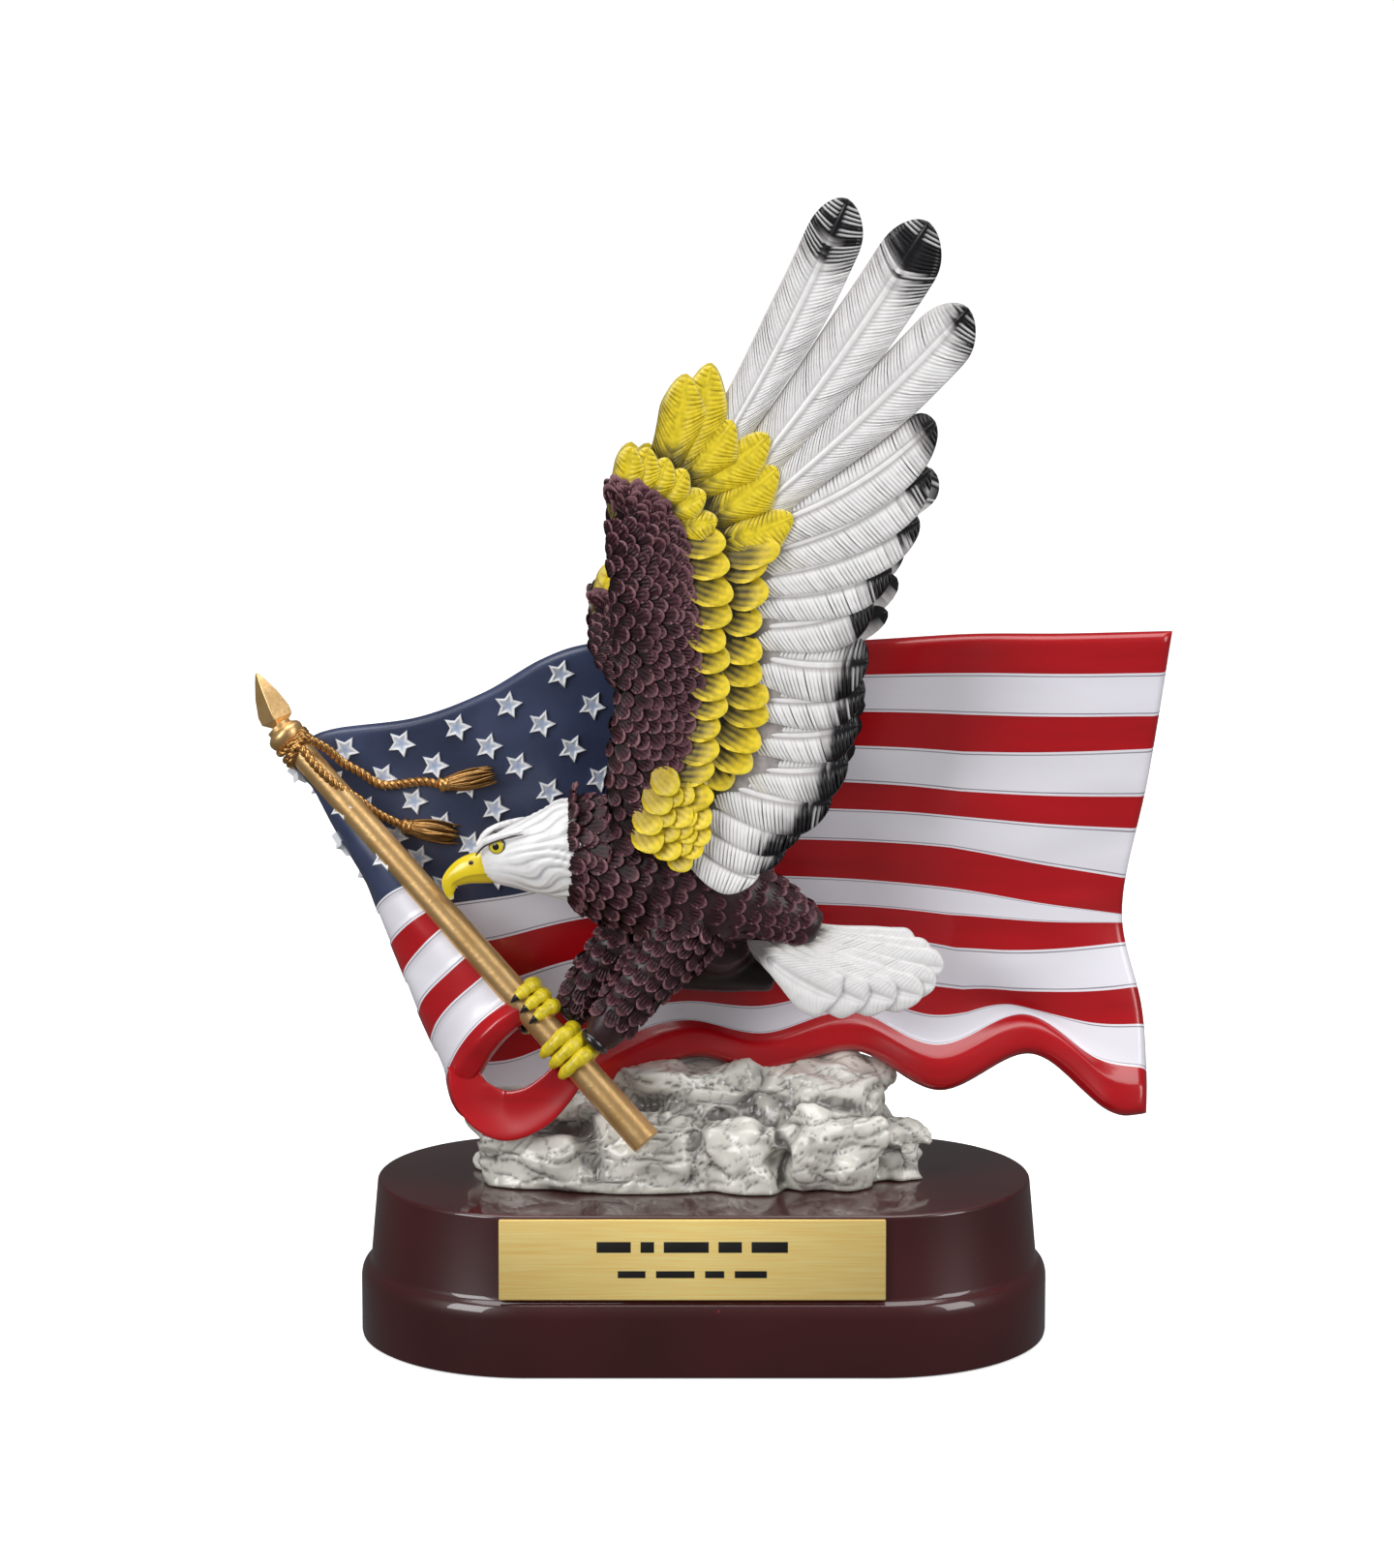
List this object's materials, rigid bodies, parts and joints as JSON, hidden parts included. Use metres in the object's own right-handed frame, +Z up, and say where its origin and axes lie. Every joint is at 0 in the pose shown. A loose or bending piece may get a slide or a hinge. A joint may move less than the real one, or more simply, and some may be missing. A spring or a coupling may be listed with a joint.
{
  "type": "eagle trophy",
  "caption": "Painted resin eagle landing on the pole of a waving striped flag above rocks, on a lacquered oval plinth with a blank brass name plate.",
  "frame": {"origin": "centre of the plinth's flat underside", "axes": "+Z up from the underside, +X to the right of someone who faces the name plate, +Y from the name plate to the back"},
  "size_m": [0.217, 0.0804, 0.2742],
  "materials": {
    "lacquered_wood": "high gloss lacquer",
    "plate_brass": "brushed",
    "flag_resin": "painted gloss",
    "eagle_resin": "painted satin"
  },
  "bodies": {
    "root": {"plinth": "lacquered_wood", "name_plate": "plate_brass", "flag_and_rock": "flag_resin", "eagle": "eagle_resin"}
  },
  "joints": []
}
